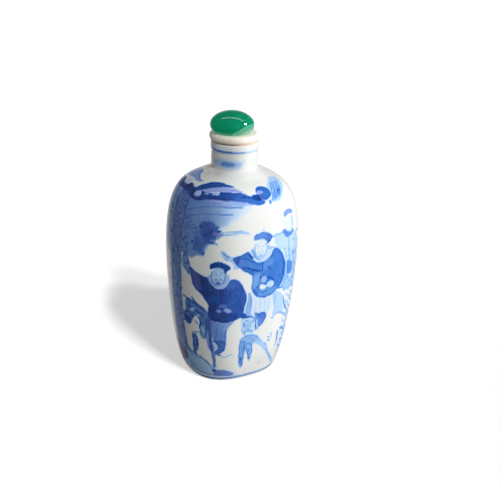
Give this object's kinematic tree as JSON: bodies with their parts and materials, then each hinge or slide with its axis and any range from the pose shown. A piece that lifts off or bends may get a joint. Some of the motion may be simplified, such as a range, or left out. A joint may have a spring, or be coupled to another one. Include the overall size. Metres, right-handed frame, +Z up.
{
  "type": "snuff bottle",
  "caption": "Blue-and-white porcelain snuff bottle with a rounded rectangular body, short neck and domed green stopper on a pale collar.",
  "frame": {"origin": "centre of the foot ring, on the surface that the bottle stands on", "axes": "+Z up through the mouth; the two wide faces of the body look along -Y and +Y, and the narrow faces along -X and +X"},
  "size_m": [0.0366, 0.0324, 0.0771],
  "materials": {
    "porcelain": "gloss",
    "cork": "matte",
    "bone": "satin",
    "green_stone": "polished"
  },
  "bodies": {
    "root": {"bottle": "porcelain", "stopper_cork": "cork", "stopper_collar": "bone", "stopper_cabochon": "green_stone"}
  },
  "joints": []
}
